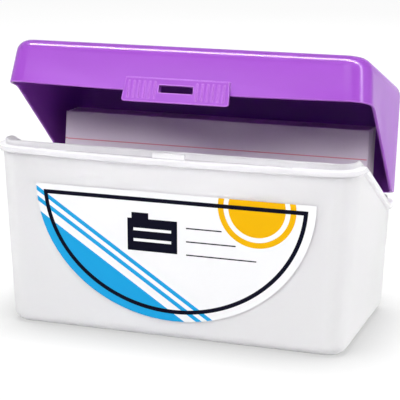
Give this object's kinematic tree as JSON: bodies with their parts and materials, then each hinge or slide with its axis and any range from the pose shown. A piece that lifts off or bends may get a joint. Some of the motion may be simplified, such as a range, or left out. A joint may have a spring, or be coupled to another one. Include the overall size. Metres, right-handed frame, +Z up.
{
  "type": "index card box",
  "caption": "Hinged-lid file box for index cards: frosted tub with a sloping rim, violet lid with a snap tab, die-cut front label and a standing pack of ruled cards.",
  "frame": {"origin": "middle of the tub's flat underside", "axes": "+X along the width to the right, +Y to the hinged rear, +Z up"},
  "size_m": [0.1446, 0.0885, 0.1107],
  "materials": {
    "frosted_plastic": "frosted, translucent, fine satin grain",
    "violet_plastic": "opaque, soft gloss",
    "label_paper": null,
    "card_paper": "uncoated card stock with ruled lines"
  },
  "bodies": {
    "box": {"tub": "frosted_plastic", "front_label": "label_paper", "index_card_01": "card_paper", "index_card_02": "card_paper", "index_card_03": "card_paper", "index_card_04": "card_paper", "index_card_05": "card_paper", "index_card_06": "card_paper", "index_card_07": "card_paper", "index_card_08": "card_paper", "index_card_09": "card_paper", "index_card_10": "card_paper", "index_card_11": "card_paper", "index_card_12": "card_paper", "index_card_13": "card_paper", "index_card_14": "card_paper", "index_card_15": "card_paper", "index_card_16": "card_paper", "index_card_17": "card_paper", "index_card_18": "card_paper", "index_card_19": "card_paper", "index_card_20": "card_paper"},
    "lid": {"lid": "violet_plastic"}
  },
  "joints": [
    {"name": "lid_hinge", "type": "hinge", "parent": "box", "child": "lid", "pos_m": [0, 0.04408, 0.0479], "axis": [-1, 0, 0], "range_deg": [-16.5, 90]}
  ]
}
